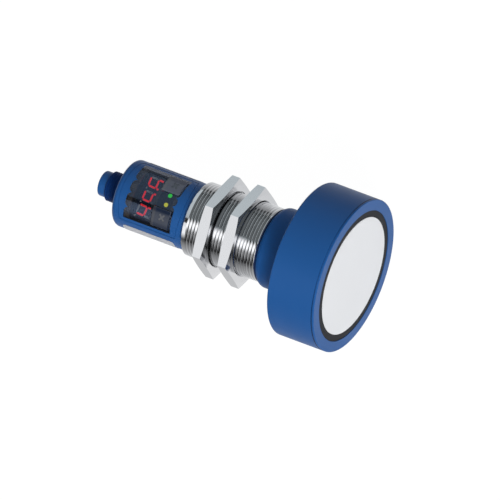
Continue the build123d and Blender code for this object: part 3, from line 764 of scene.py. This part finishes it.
bottom_faces = (base[:, None] + corner[None, ::-1]).tolist()
lit_faces = side_faces + top_faces + bottom_faces
lit_segments = surface("lit_segments", lit_points, lit_faces, segment_lit, "sensor_body")
outward(lit_segments)


def patch(name, x, y, top, bottom, finish, slot):
    """Closed thin plate over a grid of places, with its two skins at the radii top and bottom.

    Each skin stands at z = square root of (radius squared less y squared), and a band closes the rim.
    """
    rows, columns = x.shape
    skins = [np.stack((x, y, np.sqrt(skin**2 - y**2)), axis=-1).reshape(-1, 3) for skin in (top, bottom)]
    upper = grid_faces(rows, columns)
    count = rows * columns
    index = np.arange(count).reshape(rows, columns)
    rim = np.concatenate((index[0, :-1], index[:-1, -1], index[-1, :0:-1], index[:0:-1, 0]))
    following = np.roll(rim, -1)
    band = np.stack((rim, following, following + count, rim + count), axis=-1)
    faces = np.concatenate((upper, upper[:, ::-1] + count, band))
    piece = surface(name, np.concatenate(skins), faces.tolist(), finish, "sensor_body")
    outward(piece)
    return piece


def round_patch(center_x, center_y, radius, steps):
    """Grid of places on a disc, a square grid of s and t from -1 to 1 pressed into a circle.

    x = center + radius s sqrt(1 - t^2 / 2), y = center + radius t sqrt(1 - s^2 / 2).
    """
    span = np.linspace(-1, 1, steps)
    s, t = np.meshgrid(span, span, indexing="ij")
    return center_x + radius * s * np.sqrt(1 - t**2 / 2), center_y + radius * t * np.sqrt(1 - s**2 / 2)


# Light shield: black film under the window between the keys, with a strip along the display's front edge
SHIELD_TOP = WINDOW_INSIDE - 0.045
SHIELD_BOTTOM = WINDOW_INSIDE - 0.09
SHIELD_REAR_X = -30.3
LENGTH_STEPS = 12
WIDTH_STEPS = 24
shields = (
    ("light_shield", (SHIELD_REAR_X, -23.2), 3.25),
    ("display_edge", (-31.38, SHIELD_REAR_X), 9.4),
)
for shield_name, ends, half in shields:
    shield_grid = (np.linspace(*ends, LENGTH_STEPS), np.linspace(-half, half, WIDTH_STEPS))
    shield_places = np.meshgrid(*shield_grid, indexing="ij")
    patch(shield_name, *shield_places, SHIELD_TOP, SHIELD_BOTTOM, shield_film, "component_black")

# Lit spots under the window, at the ends of the two light guides
SPOT_RADIUS = 0.84
SPOT_TOP = WINDOW_INSIDE - 0.005
SPOT_BOTTOM = WINDOW_INSIDE - 0.04
for spot_name, spot_y, spot_finish in (("green", 2.4, green_light), ("yellow", -1.5, yellow_light)):
    spot_places = round_patch(LIGHT_X, spot_y, SPOT_RADIUS, steps=13)
    patch(f"{spot_name}_spot", *spot_places, SPOT_TOP, SPOT_BOTTOM, spot_finish, f"{spot_name}_light")


# Studio: pale floor, white surroundings, one soft lamp, and a half tent that only reflections see


def seen_rays(tree):
    """One for rays from the camera, a reflection or glass, and zero for those of plain light."""
    rays = tree.nodes.new("ShaderNodeLightPath").outputs
    seen = math_node(tree, "MAXIMUM", rays["Is Camera Ray"], rays["Is Glossy Ray"])
    return math_node(tree, "MAXIMUM", seen, rays["Is Transmission Ray"])


def colored_node(tree, kind, color, strength=None):
    """The shader of a node with a plain colour and, where the node has one, a strength."""
    node = tree.nodes.new(kind)
    node.inputs["Color"].default_value = color
    if strength is not None:
        node.inputs["Strength"].default_value = strength
    return node.outputs[0]


def mix_shaders(tree, factor, first, second):
    """The first shader where the factor is zero and the second where it is one."""
    mixer = tree.nodes.new("ShaderNodeMixShader")
    tree.links.new(factor, mixer.inputs[0])
    tree.links.new(first, mixer.inputs[1])
    tree.links.new(second, mixer.inputs[2])
    return mixer.outputs[0]


def stage_material(name):
    """A material of the studio, with no nodes yet."""
    made = bpy.data.materials.new(name)
    made.use_nodes = True
    made.node_tree.nodes.clear()
    return made


# Surroundings: white to the eye, a dimmer bluish white as light
world = bpy.data.worlds.new("world")
bpy.context.scene.world = world
world.use_nodes = True
tree = world.node_tree
tree.nodes.clear()
ambient = colored_node(tree, "ShaderNodeBackground", (0.96, 0.98, 1, 1), strength=0.38)
backdrop = colored_node(tree, "ShaderNodeBackground", (1, 1, 1, 1), strength=1.0)
world_output = tree.nodes.new("ShaderNodeOutputWorld")
tree.links.new(mix_shaders(tree, seen_rays(tree), ambient, backdrop), world_output.inputs["Surface"])

# Floor: pale paint that keeps the shadow, and a glow that makes it white to the eye
FLOOR_DROP = 0.0002
FLOOR_Z = cad_box[0].z - FLOOR_DROP
FLOOR_HALF = 6
GLOW_SHARE = 0.93
floor_mesh = bpy.data.meshes.new("floor")
floor_signs = ((-1, -1), (1, -1), (1, 1), (-1, 1))
floor_corners = [(x * FLOOR_HALF, y * FLOOR_HALF, FLOOR_Z) for x, y in floor_signs]
floor_mesh.from_pydata(floor_corners, [], [(0, 1, 2, 3)])
floor = add_object("floor", floor_mesh)
floor_paint = stage_material("floor_paint")
tree = floor_paint.node_tree
paint = colored_node(tree, "ShaderNodeBsdfDiffuse", (0.86, 0.86, 0.87, 1))
glow = colored_node(tree, "ShaderNodeEmission", (1, 1, 1, 1), strength=1.05)
glow_factor = math_node(tree, "MULTIPLY", seen_rays(tree), GLOW_SHARE)
floor_output = tree.nodes.new("ShaderNodeOutputMaterial")
tree.links.new(mix_shaders(tree, glow_factor, paint, glow), floor_output.inputs["Surface"])
floor.data.materials.append(floor_paint)

# Key lamp: a square lamp that faces the object, and that neither the camera nor a reflection shows
LAMP_DISTANCE = 2.5
lamp_away = Vector((0.61, -0.52, 0.6)).normalized()
lamp_data = bpy.data.lights.new("key_lamp", "AREA")
lamp_data.size = 0.9
lamp_data.energy = 58
lamp = add_object("key_lamp", lamp_data)
lamp_turn = lamp_away.to_track_quat("Z", "Y").to_matrix().to_4x4()
lamp.matrix_world = Matrix.Translation(lamp_away * LAMP_DISTANCE) @ lamp_turn
lamp.visible_glossy = False
lamp.visible_camera = False

# Half tent: an arch about the sensor's axis, from +Y over the top to -Y, that goes on along the floor
TENT_RADIUS = 0.9
APRON_RISE = 0.001
tent_angle = np.radians(np.linspace(-2, 182, 185))
tent_degrees = np.degrees(tent_angle)
apron_reach = np.array((0.02, 0.036, 0.056, 0.079, 0.11, 0.217, 0.4))
apron_height = np.full(len(apron_reach), FLOOR_Z + APRON_RISE)
arch = np.stack((TENT_RADIUS * np.cos(tent_angle), TENT_RADIUS * np.sin(tent_angle)), axis=-1)
right_apron = np.stack((apron_reach, apron_height), axis=-1)
left_apron = np.stack((-apron_reach[::-1], apron_height), axis=-1)
tent_line = np.concatenate((right_apron, arch, left_apron))

# Tones of the tent by the angle in degrees: level surfaces see its middle strip, tilted ones the rest
strip_marks = (
    -2, 4.5, 5, 6, 6.6, 60, 95, 108, 111,
    123, 125.5, 132, 138, 156, 168, 175, 182,
)
strip_tones = (
    0.4, 0.4, 0.1, 0.1, 0.77, 0.76, 0.73, 0.64, 0.03,
    0.03, 1.19, 1.19, 1.4, 1.4, 0.6, 0.15, 0.1,
)
side_marks = (
    -2, 0, 3, 8, 15, 40, 60, 104, 107.5, 110.5, 113.5,
    116.5, 119.7, 125.7, 131.8, 138, 144, 154, 164, 175, 182,
)
front_tones = (
    0.34, 0.3, 0.07, 0.03, 0.12, 0.165, 0.175, 0.17, 0.5, 0.85, 1.25,
    1.55, 1.85, 1.85, 1.75, 0.92, 0.34, 0.27, 0.12, 0.0, 0.1,
)
rear_tones = (
    0.34, 0.3, 0.07, 0.03, 0.11, 0.155, 0.165, 0.15, 0.1, 0.04, 0.08,
    0.2, 0.42, 0.8, 0.8, 0.33, 0.16, 0.12, 0.05, 0.0, 0.1,
)
right_tones = (0.9, 0.85, 0.78, 0.7, 0.58, 0.43, 0.33)
left_tones = (0.15, 0.245, 0.36, 0.42, 0.5, 0.67, 0.77)
rear_tone, strip_tone, front_tone = (
    np.concatenate((right_tones, np.interp(tent_degrees, marks, tones), left_tones))
    for marks, tones in (
        (side_marks, rear_tones),
        (strip_marks, strip_tones),
        (side_marks, front_tones),
    )
)
tent_x = np.array((-8, -0.52, -0.48, -0.27, -0.23, 8))
tent_tone = np.stack((rear_tone, rear_tone, strip_tone, strip_tone, front_tone, front_tone), axis=1)
tent_points = np.stack(np.broadcast_arrays(tent_x[None, :], tent_line[:, :1], tent_line[:, 1:]), axis=-1)
tent_mesh = bpy.data.meshes.new("tent")
tent_faces = grid_faces(len(tent_line), len(tent_x))
tent_mesh.from_pydata(tent_points.reshape(-1, 3).tolist(), [], tent_faces.tolist())

# Tint of the tent: a little less red and more blue from the +Y side to past the top, nearly grey elsewhere
TINT_END = 110
no_tint = np.zeros(len(apron_reach))
tinted = (tent_degrees > 0) & (tent_degrees < TINT_END)
tint = np.concatenate((no_tint, tinted, no_tint))[:, None]
tent_red = tent_tone * (0.99 - 0.08 * tint)
tent_blue = tent_tone * (1.01 + 0.03 * tint)
tone_colors = np.stack((tent_red, tent_tone, tent_blue, np.ones_like(tent_tone)), axis=-1)
tone_layer = tent_mesh.color_attributes.new("tone", "FLOAT_COLOR", "POINT")
tone_layer.data.foreach_set("color", tone_colors.astype(np.float32).ravel())
tent = add_object("tent", tent_mesh)
tent.visible_camera = False
tent.visible_diffuse = False
tent.visible_shadow = False
tent.visible_transmission = False
tent_glow = stage_material("tent_glow")
tree = tent_glow.node_tree
tone_node = tree.nodes.new("ShaderNodeVertexColor")
tone_node.layer_name = "tone"
glow = tree.nodes.new("ShaderNodeEmission")
tree.links.new(tone_node.outputs["Color"], glow.inputs["Color"])
tent_output = tree.nodes.new("ShaderNodeOutputMaterial")
tree.links.new(glow.outputs[0], tent_output.inputs["Surface"])
tent.data.materials.append(tent_glow)
